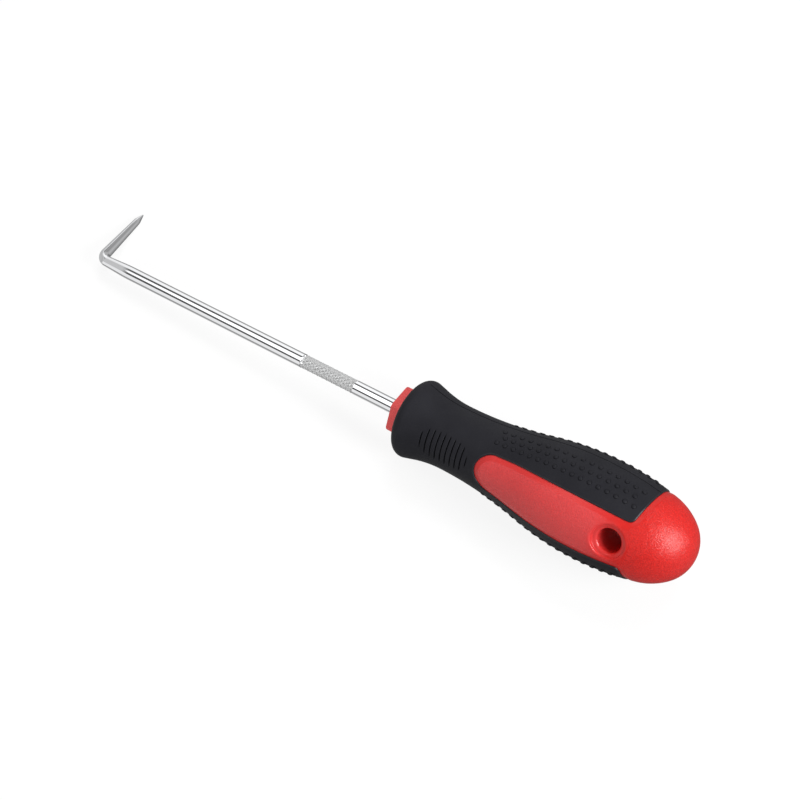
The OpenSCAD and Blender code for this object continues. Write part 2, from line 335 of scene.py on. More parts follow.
# The grain of the moulds, for the red and the black plastic: its fine height and a broad mottle.
grain = bpy.data.node_groups.new("moulded_grain", "ShaderNodeTree")
grain.interface.new_socket("Grains per m", in_out="INPUT", socket_type="NodeSocketFloat")
grain.interface.new_socket("Height", in_out="OUTPUT", socket_type="NodeSocketFloat")
grain.interface.new_socket("Mottle", in_out="OUTPUT", socket_type="NodeSocketFloat")
group_in = grain.nodes.new("NodeGroupInput")
group_out = grain.nodes.new("NodeGroupOutput")
coord = grain.nodes.new("ShaderNodeTexCoord")
fine = grain.nodes.new("ShaderNodeTexNoise")
fine.inputs["Detail"].default_value = 2.0
fine.inputs["Roughness"].default_value = 0.6
broad = grain.nodes.new("ShaderNodeTexNoise")
broad.inputs["Scale"].default_value = 90.0
broad.inputs["Detail"].default_value = 2.0
grain.links.new(coord.outputs["Object"], fine.inputs["Vector"])
grain.links.new(coord.outputs["Object"], broad.inputs["Vector"])
grain.links.new(group_in.outputs["Grains per m"], fine.inputs["Scale"])
grain.links.new(fine.outputs["Fac"], group_out.inputs["Height"])
grain.links.new(broad.outputs["Fac"], group_out.inputs["Mottle"])


def set_ramp(ramp, stops):
    """Sets the stops of a colour ramp, each a place and a colour."""
    elements = ramp.color_ramp.elements
    while len(elements) < len(stops):
        elements.new(0.5)
    for element, (place, colour) in zip(elements, stops):
        element.position = place
        element.color = (*colour, 1)


# The grain fades out where a piece is marked as polished. Where it is marked for sheen, a pale haze is
# painted into its colour as a painted reflection. A mix of colours has its factor and its two colours at
# inputs 0, 6 and 7.
red, nodes, links, shader = finish_of("red_plastic")
shader.inputs["Specular IOR Level"].default_value = 0.5
cast = nodes.new("ShaderNodeGroup")
cast.node_tree = grain
cast.inputs["Grains per m"].default_value = 2300.0
polished = nodes.new("ShaderNodeAttribute")
polished.attribute_name = "polish"
flatten = nodes.new("ShaderNodeMapRange")
flatten.inputs["To Min"].default_value = 1.0
flatten.inputs["To Max"].default_value = 0.15
middle = nodes.new("ShaderNodeMath")
middle.operation = "SUBTRACT"
middle.inputs[1].default_value = 0.5
relief = nodes.new("ShaderNodeMath")
relief.operation = "MULTIPLY"
shade = nodes.new("ShaderNodeMath")
shade.operation = "ADD"
shade.inputs[1].default_value = 0.5
tint = nodes.new("ShaderNodeValToRGB")
set_ramp(tint, [(0.3, (0.42, 0.005, 0.004)), (0.7, (0.68, 0.016, 0.011))])
# Painted sheen: a paler red is mixed in where the panels are marked, standing in for the haze of reflected
# light.
painted_sheen_node = nodes.new("ShaderNodeAttribute")
painted_sheen_node.attribute_name = "frost_and_sheen"
painted_haze = nodes.new("ShaderNodeMix")
painted_haze.data_type = "RGBA"
painted_haze.inputs[7].default_value = (0.72, 0.085, 0.09, 1)
bump = nodes.new("ShaderNodeBump")
bump.inputs["Strength"].default_value = 0.8
bump.inputs["Distance"].default_value = 0.00022
rough = nodes.new("ShaderNodeMapRange")
rough.inputs["To Min"].default_value = 0.31
rough.inputs["To Max"].default_value = 0.22
links.new(polished.outputs["Fac"], flatten.inputs["Value"])
links.new(cast.outputs["Height"], middle.inputs[0])
links.new(middle.outputs["Value"], relief.inputs[0])
links.new(flatten.outputs["Result"], relief.inputs[1])
links.new(relief.outputs["Value"], shade.inputs[0])
links.new(shade.outputs["Value"], tint.inputs["Fac"])
links.new(painted_sheen_node.outputs["Fac"], painted_haze.inputs[0])
links.new(tint.outputs["Color"], painted_haze.inputs[6])
links.new(painted_haze.outputs[2], shader.inputs["Base Color"])
links.new(relief.outputs["Value"], bump.inputs["Height"])
links.new(bump.outputs["Normal"], shader.inputs["Normal"])
links.new(polished.outputs["Fac"], rough.inputs["Value"])
links.new(rough.outputs["Result"], shader.inputs["Roughness"])

# The bolster is left matt from the mould, and its red is painted paler as painted light, standing in for the
# key lamp's light that the grip's collar keeps off it.
lit_matt_red = red.copy()
lit_matt_red.name = "matt_red_painted_light"
painted_light_tint = lit_matt_red.node_tree.nodes[tint.name]
set_ramp(painted_light_tint, [(0.3, (0.7, 0.075, 0.075)), (0.7, (0.88, 0.115, 0.112))])
lit_matt_red.node_tree.nodes[rough.name].inputs["To Min"].default_value = 0.6
dress(bolster, lit_matt_red)


# RED CORE
# The hard plastic core, moulded round the tang: two side panels and the rounded butt show, and the rest
# lies under the black grip. The red is pillowed, with a smooth sloping edge, and a hole to hang it by goes
# through.
COLLAR_R, COLLAR_AT, COLLAR_ROUND = 13.7, 7.4, 3.1
NECK_R, NECK_AT, NECK_FILLET = 11.3, 22.2, 41.0
BELLY_R, BELLY_BACK, BELLY_CURVE = 17.1, 35.5, 102.0
HIP_BACK, HIP_CURVE = 14.0, 21.0
BELLY_AT = HANDLE_LEN - BELLY_BACK
HIP_AT = HANDLE_LEN - HIP_BACK
PANEL_FRONT = 36.4
PANEL_HALF = math.radians(31.5)
PANEL_STEP = 0.1
PILLOW_W = 1.9
PILLOW_DROP = 0.4
PILLOW_BEND = 0.25
TONGUE_BACK = 18.0
TONGUE_AT = HANDLE_LEN - TONGUE_BACK
TONGUE_SLANT = math.radians(12)
TONGUE_ROUND = 1.8
GRIP_WALL = 2.5
LAP_FROM, LAP_TO = 0.6, 1.5

# The handle's profile is a chain of tangent arcs, each with its centre as (radius, height).
collar_c = Vector((COLLAR_R - COLLAR_ROUND, COLLAR_AT))
fillet_c = Vector((NECK_R + NECK_FILLET, NECK_AT))
belly_c = Vector((BELLY_R - BELLY_CURVE, BELLY_AT))
swell = BELLY_R - NECK_R
neck_curve = ((BELLY_AT - NECK_AT) ** 2 + swell ** 2) / (2 * swell) - BELLY_CURVE
neck_c = Vector((NECK_R + neck_curve, NECK_AT))
hip_turn = math.asin((HIP_AT - BELLY_AT) / BELLY_CURVE)
hip_c = belly_c + Vector((math.cos(hip_turn), math.sin(hip_turn))) * (BELLY_CURVE - HIP_CURVE)
hip_reach = HANDLE_LEN - hip_c.y
dome_r = (HIP_CURVE ** 2 - hip_reach ** 2 - hip_c.x ** 2) / (2 * (HIP_CURVE - hip_reach))
dome_c = Vector((0.0, HANDLE_LEN - dome_r))


def turn_of(v):
    """Angle of the way that v points."""
    return math.atan2(v.y, v.x)


def on_arc(centre, radius, turn):
    """The point of an arc where its normal has this turn."""
    return centre + Vector((math.cos(turn), math.sin(turn))) * radius


belly_turn = turn_of(neck_c - belly_c)
dome_turn = turn_of(dome_c - hip_c)
span = fillet_c - collar_c
slope_turn = turn_of(span) - math.acos((COLLAR_ROUND + NECK_FILLET) / span.length)
slope_front = on_arc(collar_c, COLLAR_ROUND, slope_turn)
slope_back = on_arc(fillet_c, -NECK_FILLET, slope_turn)
dome_from = on_arc(hip_c, HIP_CURVE, dome_turn).y
HANDLE_ARCS = [  # centre, radius (below 0: hollow), height where it ends
    (collar_c, COLLAR_ROUND, slope_front.y),
    (fillet_c, -NECK_FILLET, NECK_AT),
    (neck_c, -neck_curve, on_arc(belly_c, BELLY_CURVE, belly_turn).y),
    (belly_c, BELLY_CURVE, HIP_AT),
    (hip_c, HIP_CURVE, dome_from),
    (dome_c, dome_r, HANDLE_LEN),
]


def skin(height):
    """Radius of the black surface at a height, and the way it faces as (out, along)."""
    if slope_front.y < height < slope_back.y:
        t = (height - slope_front.y) / (slope_back.y - slope_front.y)
        return slope_front.lerp(slope_back, t).x, (math.cos(slope_turn), math.sin(slope_turn))
    for centre, radius, end in HANDLE_ARCS:
        if height <= end:
            break
    lift = (height - centre.y) / radius
    side = math.sqrt(max(1 - lift * lift, 0.0))
    return centre.x + radius * side, (side, lift)


front_round = NECK_R * math.sin(PANEL_HALF)
for _ in range(6):
    front_round = skin(PANEL_FRONT + front_round)[0] * math.sin(PANEL_HALF)
FRONT_C = PANEL_FRONT + front_round


def circle_through(a, b, c):
    """Centre of the circle through three points."""
    d = 2 * (a.x * (b.y - c.y) + b.x * (c.y - a.y) + c.x * (a.y - b.y))
    aa, bb, cc = a.length_squared, b.length_squared, c.length_squared
    return Vector((aa * (b.y - c.y) + bb * (c.y - a.y) + cc * (a.y - b.y),
                   aa * (c.x - b.x) + bb * (a.x - c.x) + cc * (b.x - a.x))) / d


tongue_half = skin(TONGUE_AT)[0] * math.sin(PANEL_HALF)
edge_mid = Vector((BELLY_R * math.sin(PANEL_HALF), BELLY_AT))
edge_c = circle_through(Vector((front_round, FRONT_C)), edge_mid, Vector((tongue_half, TONGUE_AT)))
edge_curve = (edge_mid - edge_c).length


def panel_half_width(height):
    """Half the width of a side panel, seen square on."""
    if height < FRONT_C:
        return math.sqrt(max(front_round ** 2 - (height - FRONT_C) ** 2, 0.0))
    return edge_c.x + math.sqrt(edge_curve ** 2 - (height - edge_c.y) ** 2)


def inside_red(radius, turn, height):
    """Distance from the border into the red, and below 0 into the black; turn is from a panel's middle."""
    turn = abs((turn + math.pi / 2) % math.pi - math.pi / 2)
    across = radius * math.sin(turn)
    if height < FRONT_C:
        panel = front_round - math.hypot(across, height - FRONT_C)
    else:
        panel = radius * (math.asin(min(panel_half_width(height) / radius, 1.0)) - turn)
    end = TONGUE_AT + (across - tongue_half) * math.tan(TONGUE_SLANT)
    behind = (height - end) * math.cos(TONGUE_SLANT)
    if panel > -TONGUE_ROUND and behind > -TONGUE_ROUND:
        return math.hypot(TONGUE_ROUND + panel, TONGUE_ROUND + behind) - TONGUE_ROUND
    return max(panel, behind)


def ease(start, end, x):
    """Goes smoothly from 0 to 1 as x goes from start to end."""
    t = min(max((x - start) / (end - start), 0.0), 1.0)
    return t * t * (3 - 2 * t)


def red_sink(depth):
    """How far the red lies below the black surface, from its distance inside the border."""
    if depth > PILLOW_W + PILLOW_BEND:
        return PANEL_STEP
    if depth > PILLOW_W - PILLOW_BEND:
        bend = (PILLOW_W + PILLOW_BEND - depth) ** 2 / (4 * PILLOW_BEND)
        return PANEL_STEP + PILLOW_DROP * bend / PILLOW_W
    slope = PANEL_STEP + PILLOW_DROP * (1 - max(depth, -LAP_FROM) / PILLOW_W)
    return slope + (GRIP_WALL - slope) * ease(LAP_FROM, LAP_TO, -depth)


def arc_points(centre, radius, start, stop, step):
    """Points of the profile along an arc, after its first one."""
    count = round(abs(stop - start) * radius / step)
    return [on_arc(centre, radius, start + (stop - start) * i / count) for i in range(1, count + 1)]


# A half section is spun about the axis: coarse where the grip hides it, and fine from the panels on.
CORE_STEP = 0.42
CORE_AROUND = 280
HIDDEN_STEP = 1.6
HIDDEN_HEIGHTS = (9.5, 12, 16, 20, 24, 28, 31, 33)
FINE_FROM = PANEL_FRONT - 2.0
front = COLLAR_AT - COLLAR_ROUND
profile = [Vector((0.0, front)), Vector((6.0, front)), Vector((collar_c.x, front))]
profile += arc_points(collar_c, COLLAR_ROUND, math.radians(-90), slope_turn, HIDDEN_STEP)
profile += [Vector((skin(h)[0], h)) for h in HIDDEN_HEIGHTS]
fine_rows = round((HIP_AT - FINE_FROM) / CORE_STEP)
profile += [Vector((skin(h)[0], h)) for h in steps(FINE_FROM, HIP_AT, fine_rows)]
profile += arc_points(hip_c, HIP_CURVE, hip_turn, dome_turn, CORE_STEP)
profile += arc_points(dome_c, dome_r, dome_turn, math.radians(90), CORE_STEP)
begin()
bpy.ops.mesh.primitive_circle_add(vertices=len(profile), fill_type="NOTHING")
core = named("core")
bpy.ops.object.mode_set(mode="EDIT")
bm = bmesh.from_edit_mesh(core.data)
bm.verts.ensure_lookup_table()
for v, point in zip(bm.verts, profile):
    v.co = (max(point.x, 0.0), 0.0, point.y)
bmesh.update_edit_mesh(core.data)
choose(core, lambda co: co.x < 1e-4)
bpy.ops.mesh.delete(type="EDGE_FACE")
bpy.ops.mesh.select_all(action="SELECT")
bpy.ops.mesh.spin(steps=CORE_AROUND, angle=math.tau, center=(0, 0, 0), axis=(0, 0, 1))
weld(core)

# The red is pressed below the black skin, and its border goes on under the grip.
for v in core.data.vertices:
    x, y, h = v.co
    r = math.hypot(x, y)
    if r < 0.01:
        v.co.z += GRIP_WALL if h < BELLY_AT else -PANEL_STEP
        continue
    out, along = skin(h)[1] if h > front + 0.1 else (0.0, -1.0)
    sink = red_sink(inside_red(r, math.atan2(y, x), h)) if h > FINE_FROM - 2 else GRIP_WALL
    v.co = (x * (1 - sink * out / r), y * (1 - sink * out / r), h - sink * along)

# The hole: the faces round it are taken out, and its rounded rim, stepped seat and bore are drawn in
# ring by ring.
HOLE_R = hole["dims"]["r_mm"]
SEAT_X = hole["dims"]["length_mm"] / 2
HOLE_BLOCK = 7.0
RIM_R = 6.35
RIM_FOOT = 0.27
RIM_RINGS = [  # radius, drop below the panel
    (RIM_R, 0.0), (6.15, 0.015), (5.95, 0.07), (5.8, 0.16), (5.68, 0.3), (5.61, 0.5),
]
SEAT_RINGS = [  # radius, height above the seat
    (5.58, 0.25), (5.5, 0.07), (5.3, 0.0), (4.85, 0.0), (4.62, -0.06), (4.36, -0.22), (4.14, -0.47),
    (4.03, -0.75), (HOLE_R, -1.05), (HOLE_R, -SEAT_X),
]
hole_rings = [(radius, drop, None) for radius, drop in RIM_RINGS]
hole_rings += [(radius, None, SEAT_X + above) for radius, above in SEAT_RINGS]
bpy.ops.object.mode_set(mode="EDIT")
for side in (1, -1):
    bm = bmesh.from_edit_mesh(core.data)
    bpy.ops.mesh.select_all(action="DESELECT")
    for f in bm.faces:
        c = f.calc_center_median()
        f.select_set(c.x * side > 0 and abs(c.y) < HOLE_BLOCK and abs(c.z - HOLE_AT) < HOLE_BLOCK)
    bmesh.update_edit_mesh(core.data)
    bpy.ops.mesh.delete(type="FACE")
    bpy.ops.mesh.select_all(action="DESELECT")
    bm = bmesh.from_edit_mesh(core.data)
    for e in bm.edges:
        co = e.verts[0].co
        if e.is_boundary and co.x * side > 1 and abs(co.z - HOLE_AT) < HOLE_BLOCK + 2:
            e.select_set(True)
    bmesh.update_edit_mesh(core.data)
    for radius, drop, reach in hole_rings:
        bpy.ops.mesh.extrude_edges_move()
        bm = bmesh.from_edit_mesh(core.data)
        for v in bm.verts:
            if v.select:
                turn = math.atan2(v.co.z - HOLE_AT, v.co.y)
                y = radius * math.cos(turn)
                h = HOLE_AT + radius * math.sin(turn)
                x = reach
                if reach is None:
                    panel_x = math.sqrt((skin(h)[0] - PANEL_STEP) ** 2 - y * y)
                    x = max(panel_x - drop, SEAT_X + RIM_FOOT)
                v.co = (side * x, y, h)
        bmesh.update_edit_mesh(core.data)
weld(core)

# What is smooth, the sloping edges and the hole, is marked for the finish, and the panels for painted sheen.
PANEL_SHEEN = 0.5
EDGE_CLEAR = 0.6
SHEEN_TO, SHEEN_GONE = HOLE_AT - 9.0, HOLE_AT + 5.0
polish = core.data.attributes.new("polish", "FLOAT", "POINT")
frost_and_sheen = core.data.attributes.new("frost_and_sheen", "FLOAT", "POINT")
for v in core.data.vertices:
    x, y, h = v.co
    r = max(math.hypot(x, y), 0.01)
    near_hole = 1 - ease(RIM_R - 0.05, RIM_R + 0.25, math.hypot(y, h - HOLE_AT))
    edge = 1 - ease(PILLOW_W - 0.2, PILLOW_W + 0.2, inside_red(r + PANEL_STEP, math.atan2(y, x), h))
    polish.data[v.index].value = max(near_hole, edge)
    # Painted sheen: full towards the front of the panels, gone past the hole, and less on the sloping edges.
    frost_and_sheen.data[v.index].value = PANEL_SHEEN * (1 - ease(SHEEN_TO, SHEEN_GONE, h)) * (1 - EDGE_CLEAR * edge)
lay_down(core, HANDLE_REST, crease=40)
dress(core, red)
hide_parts("handle_core")


# GRIP
# The soft black grip, moulded over the core in a second shot: a flared collar, a waist with ribbed thumb
# rests, and two long tongues between the panels. The mould's parting line runs along the middle of each
# tongue.
GRIP_FILLET = 0.45
GRIP_INSIDE = GRIP_WALL - 0.05
THUMB_FRONT, THUMB_BACK, THUMB_HALF = 14.4, 33.4, 5.0
GROOVES = 10
GROOVE_PITCH = 1.95
GROOVE_HALF = 0.3
GROOVE_DEPTH = 0.45
GROOVE_FADE = 0.5
SEAM_DEPTH = 0.3
SEAM_HALF = 0.32
SEAM_FADE = 0.4
HEX_LAP = 0.3
TONGUE_BEND = TONGUE_AT - 2.6
TONGUE_TIP = TONGUE_AT + 3.5


def hexagon_reach(turn):
    """Distance from the axis to the bolster's side, a little inside it."""
    turn = abs((turn + math.radians(30)) % math.radians(60) - math.radians(30))
    return HEX_FLAT / math.cos(turn) - HEX_LAP


def tongue_end(turn):
    """Height where the tongue's border crosses a turn from the panel's middle."""
    low, high = TONGUE_BEND, TONGUE_TIP
    for _ in range(40):
        mid = (low + high) / 2
        if inside_red(skin(mid)[0], turn, mid) < 0:
            low = mid
        else:
            high = mid
    return low


# Half of the skin is a grid from one panel's border to the other's. Its rows lie close together where the
# form turns: at the collar, in the grooves, and round the front of the panels and the ends of the tongues.
COLLAR_STEP = 0.32
FRONT_ROWS, SIDE_ROWS, END_ROWS = 44, 60, 64
GROOVE_ROWS = (0.1, 0.2, 0.3, 0.42, 0.6, 0.82)
CLOSING_ROWS = (2.4, 2.0, 1.6, 1.2, 0.9, 0.65, 0.45, 0.3, 0.2, 0.12, 0.06, 0.02)
collar_rows = [Vector((collar_c.x, front))]
collar_rows += arc_points(collar_c, COLLAR_ROUND, math.radians(-90), slope_turn, COLLAR_STEP)
grip_rows = [(p.y, p.x, 0.0) for p in collar_rows]  # height, radius, turn of the border
heights = steps(slope_front.y + 0.5, THUMB_FRONT - 0.4, 9)
for groove in range(GROOVES):
    middle = THUMB_FRONT + (groove + 0.5) * GROOVE_PITCH
    heights += [middle - off for off in reversed(GROOVE_ROWS)]
    heights += [middle]
    heights += [middle + off for off in GROOVE_ROWS]
heights += [PANEL_FRONT - gap for gap in CLOSING_ROWS]
grip_rows += [(h, skin(h)[0], 0.0) for h in heights]
border_rows = [PANEL_FRONT + front_round * (1 - math.cos(math.radians(90) * i / FRONT_ROWS))
               for i in range(FRONT_ROWS + 1)]
border_rows += steps(FRONT_C + 0.5, TONGUE_BEND, SIDE_ROWS)
grip_rows += [(h, skin(h)[0], math.asin(panel_half_width(h) / skin(h)[0])) for h in border_rows]
first_turn = grip_rows[-1][2]
for i in range(1, END_ROWS + 1):
    turn = first_turn + (math.pi / 2 - first_turn) * (i / END_ROWS) ** 1.25
    h = tongue_end(turn)
    grip_rows.append((h, skin(h)[0], turn))

# Its columns are shares of the way from the border to the parting line, and back to the other border.
near_edge = [0.0, 0.002, 0.005, 0.009, 0.014, 0.02, 0.028, 0.04, 0.058]
near_seam = [0.982, 0.986, 0.99, 0.994, 0.997, 1.0]
quarter = near_edge + steps(0.08, 0.975, 32) + near_seam
grip_columns = quarter + [2 - q for q in reversed(quarter[:-1])]


def grip_press(radius, turn, height):
    """How far the black surface is let in: its rounded border, the thumb grooves and the parting line."""
    inside = -inside_red(radius, turn, height)
    press = 0.0
    if inside < GRIP_FILLET:
        from_centre = GRIP_FILLET - max(inside, 0.0)
        press = GRIP_FILLET - math.sqrt(max(GRIP_FILLET ** 2 - from_centre ** 2, 0.0))
    half = (turn + math.pi / 2) % math.pi - math.pi / 2
    across = radius * math.sin(half)
    nearest = min(max(height, THUMB_FRONT + THUMB_HALF), THUMB_BACK - THUMB_HALF)
    oval = THUMB_HALF - math.hypot(across, height - nearest)
    if oval > 0 and math.cos(half) > 0.5:
        place = (height - THUMB_FRONT) / GROOVE_PITCH - 0.5
        off = abs(place - round(place)) * GROOVE_PITCH
        press += GROOVE_DEPTH * (1 - ease(0.0, GROOVE_HALF, off)) * ease(0.0, GROOVE_FADE, oval)
    seam = abs(abs(half) - math.pi / 2) * radius
    if seam < SEAM_HALF and height > slope_front.y:
        press += SEAM_DEPTH * (1 - seam / SEAM_HALF) * ease(0.0, SEAM_FADE, inside)
    return press


def grip_point(row, part, wall):
    """A point of the half sleeve: wall is False on the skin and True on the inside."""
    height, radius, border = grip_rows[row]
    turn = border + (math.pi - 2 * border) * part / 2
    if height < slope_front.y + 0.01:
        out, along = (radius - collar_c.x) / COLLAR_ROUND, (height - COLLAR_AT) / COLLAR_ROUND
    else:
        out, along = skin(height)[1]
    sink = GRIP_INSIDE if wall else grip_press(radius, turn, height)
    reach = radius - sink * out
    return (math.cos(turn) * reach, math.sin(turn) * reach, height - sink * along)


def hex_point(part, wall):
    """A point of the half sleeve's edge round the hexagon."""
    turn = math.pi * part / 2
    reach = hexagon_reach(turn)
    return (math.cos(turn) * reach, math.sin(turn) * reach, front + (GRIP_INSIDE if wall else 0.0))


def lay_sheet(name, columns, rows, place):
    """A flat grid, each of whose points is laid where place puts it."""
    begin()
    bpy.ops.mesh.primitive_grid_add(x_subdivisions=columns - 1, y_subdivisions=rows - 1, size=2)
    sheet = named(name)
    for v in sheet.data.vertices:
        column = round((v.co.x + 1) / 2 * (columns - 1))
        row = round((v.co.y + 1) / 2 * (rows - 1))
        v.co = place(column, row)
    return sheet


def skin_place(column, row):
    """The skin, with the wall down to the core along both borders and round the hexagon."""
    column -= 1
    wall = column < 0 or column >= len(grip_columns)
    part = grip_columns[min(max(column, 0), len(grip_columns) - 1)]
    if row < 2:
        return hex_point(part, row == 0)
    if wall and grip_rows[row - 2][2] == 0.0:
        wall = False
    return grip_point(row - 2, part, wall)


INSIDE_COLUMNS = 13


def inside_place(column, row):
    """The inside of the sleeve, where it lies on the core."""
    part = 2 * column / (INSIDE_COLUMNS - 1)
    return hex_point(part, True) if row == 0 else grip_point(row - 1, part, True)


grip = lay_sheet("grip", len(grip_columns) + 2, len(grip_rows) + 2, skin_place)
lining = lay_sheet("lining", INSIDE_COLUMNS, len(grip_rows) + 1, inside_place)
begin()
lining.select_set(True)
grip.select_set(True)
bpy.context.view_layer.objects.active = grip
bpy.ops.object.join()
bpy.ops.object.duplicate()
half = bpy.context.object
half.matrix_world = Matrix.Rotation(math.pi, 4, "Z")
grip.select_set(True)
half.select_set(True)
bpy.context.view_layer.objects.active = grip
bpy.ops.object.join()
weld(grip, gap=0.002)

# Its border is left shiny by the edge of the mould. Its grooves and parting line are given painted shade:
# their colour and gleam are darkened where little light gets in.
polish = grip.data.attributes.new("polish", "FLOAT", "POINT")
hollow = grip.data.attributes.new("hollow", "FLOAT", "POINT")
for v in grip.data.vertices:
    x, y, h = v.co
    radius = skin(h)[0] if h > slope_front.y else math.hypot(x, y)
    inside = -inside_red(radius, math.atan2(y, x), h)
    polish.data[v.index].value = 1 - ease(GRIP_FILLET * 0.8, GRIP_FILLET * 1.4, inside)
    if inside > GRIP_FILLET:
        hollow.data[v.index].value = ease(0.03, 0.3, grip_press(radius, math.atan2(y, x), h))
lay_down(grip, HANDLE_REST, crease=50)

black, nodes, links, shader = finish_of("black_grip")
cast = nodes.new("ShaderNodeGroup")
cast.node_tree = grain
cast.inputs["Grains per m"].default_value = 3200.0
polished = nodes.new("ShaderNodeAttribute")
polished.attribute_name = "polish"
tint = nodes.new("ShaderNodeValToRGB")
set_ramp(tint, [(0.3, (0.0106, 0.0106, 0.0138)), (0.7, (0.0148, 0.0148, 0.0186))])
# Painted shade: the colour and the gleam are darkened in the grooves, the parting line and the pips' feet.
painted_shade_fac = nodes.new("ShaderNodeAttribute")
painted_shade_fac.attribute_name = "hollow"
lit = nodes.new("ShaderNodeMapRange")
lit.inputs["To Min"].default_value = 1.0
lit.inputs["To Max"].default_value = 0.12
colour = nodes.new("ShaderNodeVectorMath")
colour.operation = "SCALE"
gleam = nodes.new("ShaderNodeMapRange")
gleam.inputs["To Min"].default_value = 0.2
gleam.inputs["To Max"].default_value = 0.4
mirror = nodes.new("ShaderNodeMath")
mirror.operation = "MULTIPLY"
matt = nodes.new("ShaderNodeMapRange")
matt.inputs["To Min"].default_value = 0.45
matt.inputs["To Max"].default_value = 0.62
rough = nodes.new("ShaderNodeMath")
rough.operation = "MULTIPLY_ADD"
rough.inputs[1].default_value = -0.22
bump = nodes.new("ShaderNodeBump")
bump.inputs["Strength"].default_value = 0.35
bump.inputs["Distance"].default_value = 0.00008
links.new(painted_shade_fac.outputs["Fac"], lit.inputs["Value"])
links.new(cast.outputs["Mottle"], tint.inputs["Fac"])
links.new(tint.outputs["Color"], colour.inputs[0])
links.new(lit.outputs["Result"], colour.inputs["Scale"])
links.new(colour.outputs["Vector"], shader.inputs["Base Color"])
links.new(polished.outputs["Fac"], gleam.inputs["Value"])
links.new(gleam.outputs["Result"], mirror.inputs[0])
links.new(lit.outputs["Result"], mirror.inputs[1])
links.new(mirror.outputs["Value"], shader.inputs["Specular IOR Level"])
links.new(cast.outputs["Height"], matt.inputs["Value"])
links.new(polished.outputs["Fac"], rough.inputs[0])
links.new(matt.outputs["Result"], rough.inputs[2])
links.new(rough.outputs["Value"], shader.inputs["Roughness"])
links.new(cast.outputs["Height"], bump.inputs["Height"])
links.new(bump.outputs["Normal"], shader.inputs["Normal"])
dress(grip, black)
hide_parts("grip_sleeve")


# PIPS
# Staggered rows of small round pips stand on the tongues for a sure grip. They are moulded with the sleeve,
# with steep sides, and each is given painted shade round its foot.
PIP_PITCH = 3.15
PIP_FROM = 40.1
PIP_ROWS = 3
PIP_TURN = 50.0
PIP_STEP = 11.5
PIP_D = 1.6
PIP_FOOT = -0.15
PIP_FOOT_R = 0.9
PIP_RINGS = [(0.84, 0.0), (0.72, 0.14), (0.5, 0.25), (0.16, 0.3)]  # radius, height
begin()
bpy.ops.mesh.primitive_circle_add(vertices=10, radius=PIP_FOOT_R, fill_type="NOTHING",
                                  location=(0, 0, PIP_FOOT))
pip = named("grip_pips")
bpy.ops.object.transform_apply(location=True)
bpy.ops.object.mode_set(mode="EDIT")
bpy.ops.mesh.select_all(action="SELECT")
z_now, r_now = PIP_FOOT, PIP_FOOT_R
for r, z in PIP_RINGS:
    draw_out((0, 0, z - z_now), (0, 0, z), (r / r_now, r / r_now, 1))
    z_now, r_now = z, r
bpy.ops.mesh.edge_face_add()
weld(pip)
# Painted shade round the foot of each pip, gone towards its top.
hollow = pip.data.attributes.new("hollow", "FLOAT", "POINT")
for v in pip.data.vertices:
    hollow.data[v.index].value = 1 - ease(0.02, 0.24, v.co.z)
copies = []
for side in (0, 180):
    for hand in (-1, 1):
        for row in range(PIP_ROWS):
            angle = PIP_TURN + row * PIP_STEP
            h = PIP_FROM + (row % 2) * PIP_PITCH / 2
            while h < TONGUE_AT - PIP_D:
                radius, (out, along) = skin(h)
                stand = Matrix.Rotation(math.radians(side + hand * angle), 4, "Z")
                lean = Matrix.Rotation(math.atan2(out, along), 4, "Y")
                copy = pip.copy()
                copy.data = pip.data.copy()
                copy.matrix_world = stand @ Matrix.Translation((radius, 0, h)) @ lean
                bpy.context.scene.collection.objects.link(copy)
                copies.append(copy)
                h += PIP_PITCH
begin()
for copy in copies:
    copy.select_set(True)
bpy.context.view_layer.objects.active = copies[0]
bpy.ops.object.transform_apply(location=True, rotation=True, scale=True)
bpy.ops.object.join()
bpy.data.objects.remove(pip)
pips = named("grip_pips")
lay_down(pips, HANDLE_REST, crease=60)
dress(pips, black)


# FLOOR
# A white table top of matt card that reaches past the picture. Most of what the camera sees of it is glow,
# which keeps it white round a soft shadow, and the plate doesn't mirror it.
FLOOR_SIZE = 6.0
FLOOR_GLOW = 0.75
begin()
bpy.ops.mesh.primitive_plane_add(size=FLOOR_SIZE, location=(0, 0, 0))
floor = named("floor")
bpy.ops.object.transform_apply(location=True, rotation=True, scale=True)
paper, nodes, links, shader = finish_of("white_table")
shader.inputs["Base Color"].default_value = (0.55, 0.55, 0.55, 1)
shader.inputs["Roughness"].default_value = 0.9
shader.inputs["Specular IOR Level"].default_value = 0.1
glow = nodes.new("ShaderNodeEmission")
glow.inputs["Strength"].default_value = 1.15
seen = nodes.new("ShaderNodeLightPath")
share = nodes.new("ShaderNodeMath")
share.operation = "MULTIPLY"
share.inputs[1].default_value = FLOOR_GLOW
mix = nodes.new("ShaderNodeMixShader")
links.new(seen.outputs["Is Camera Ray"], share.inputs[0])
links.new(share.outputs["Value"], mix.inputs["Fac"])
links.new(shader.outputs["BSDF"], mix.inputs[1])
links.new(glow.outputs["Emission"], mix.inputs[2])
links.new(mix.outputs["Shader"], nodes["Material Output"].inputs["Surface"])
floor.data.materials.append(paper)
floor.visible_glossy = False


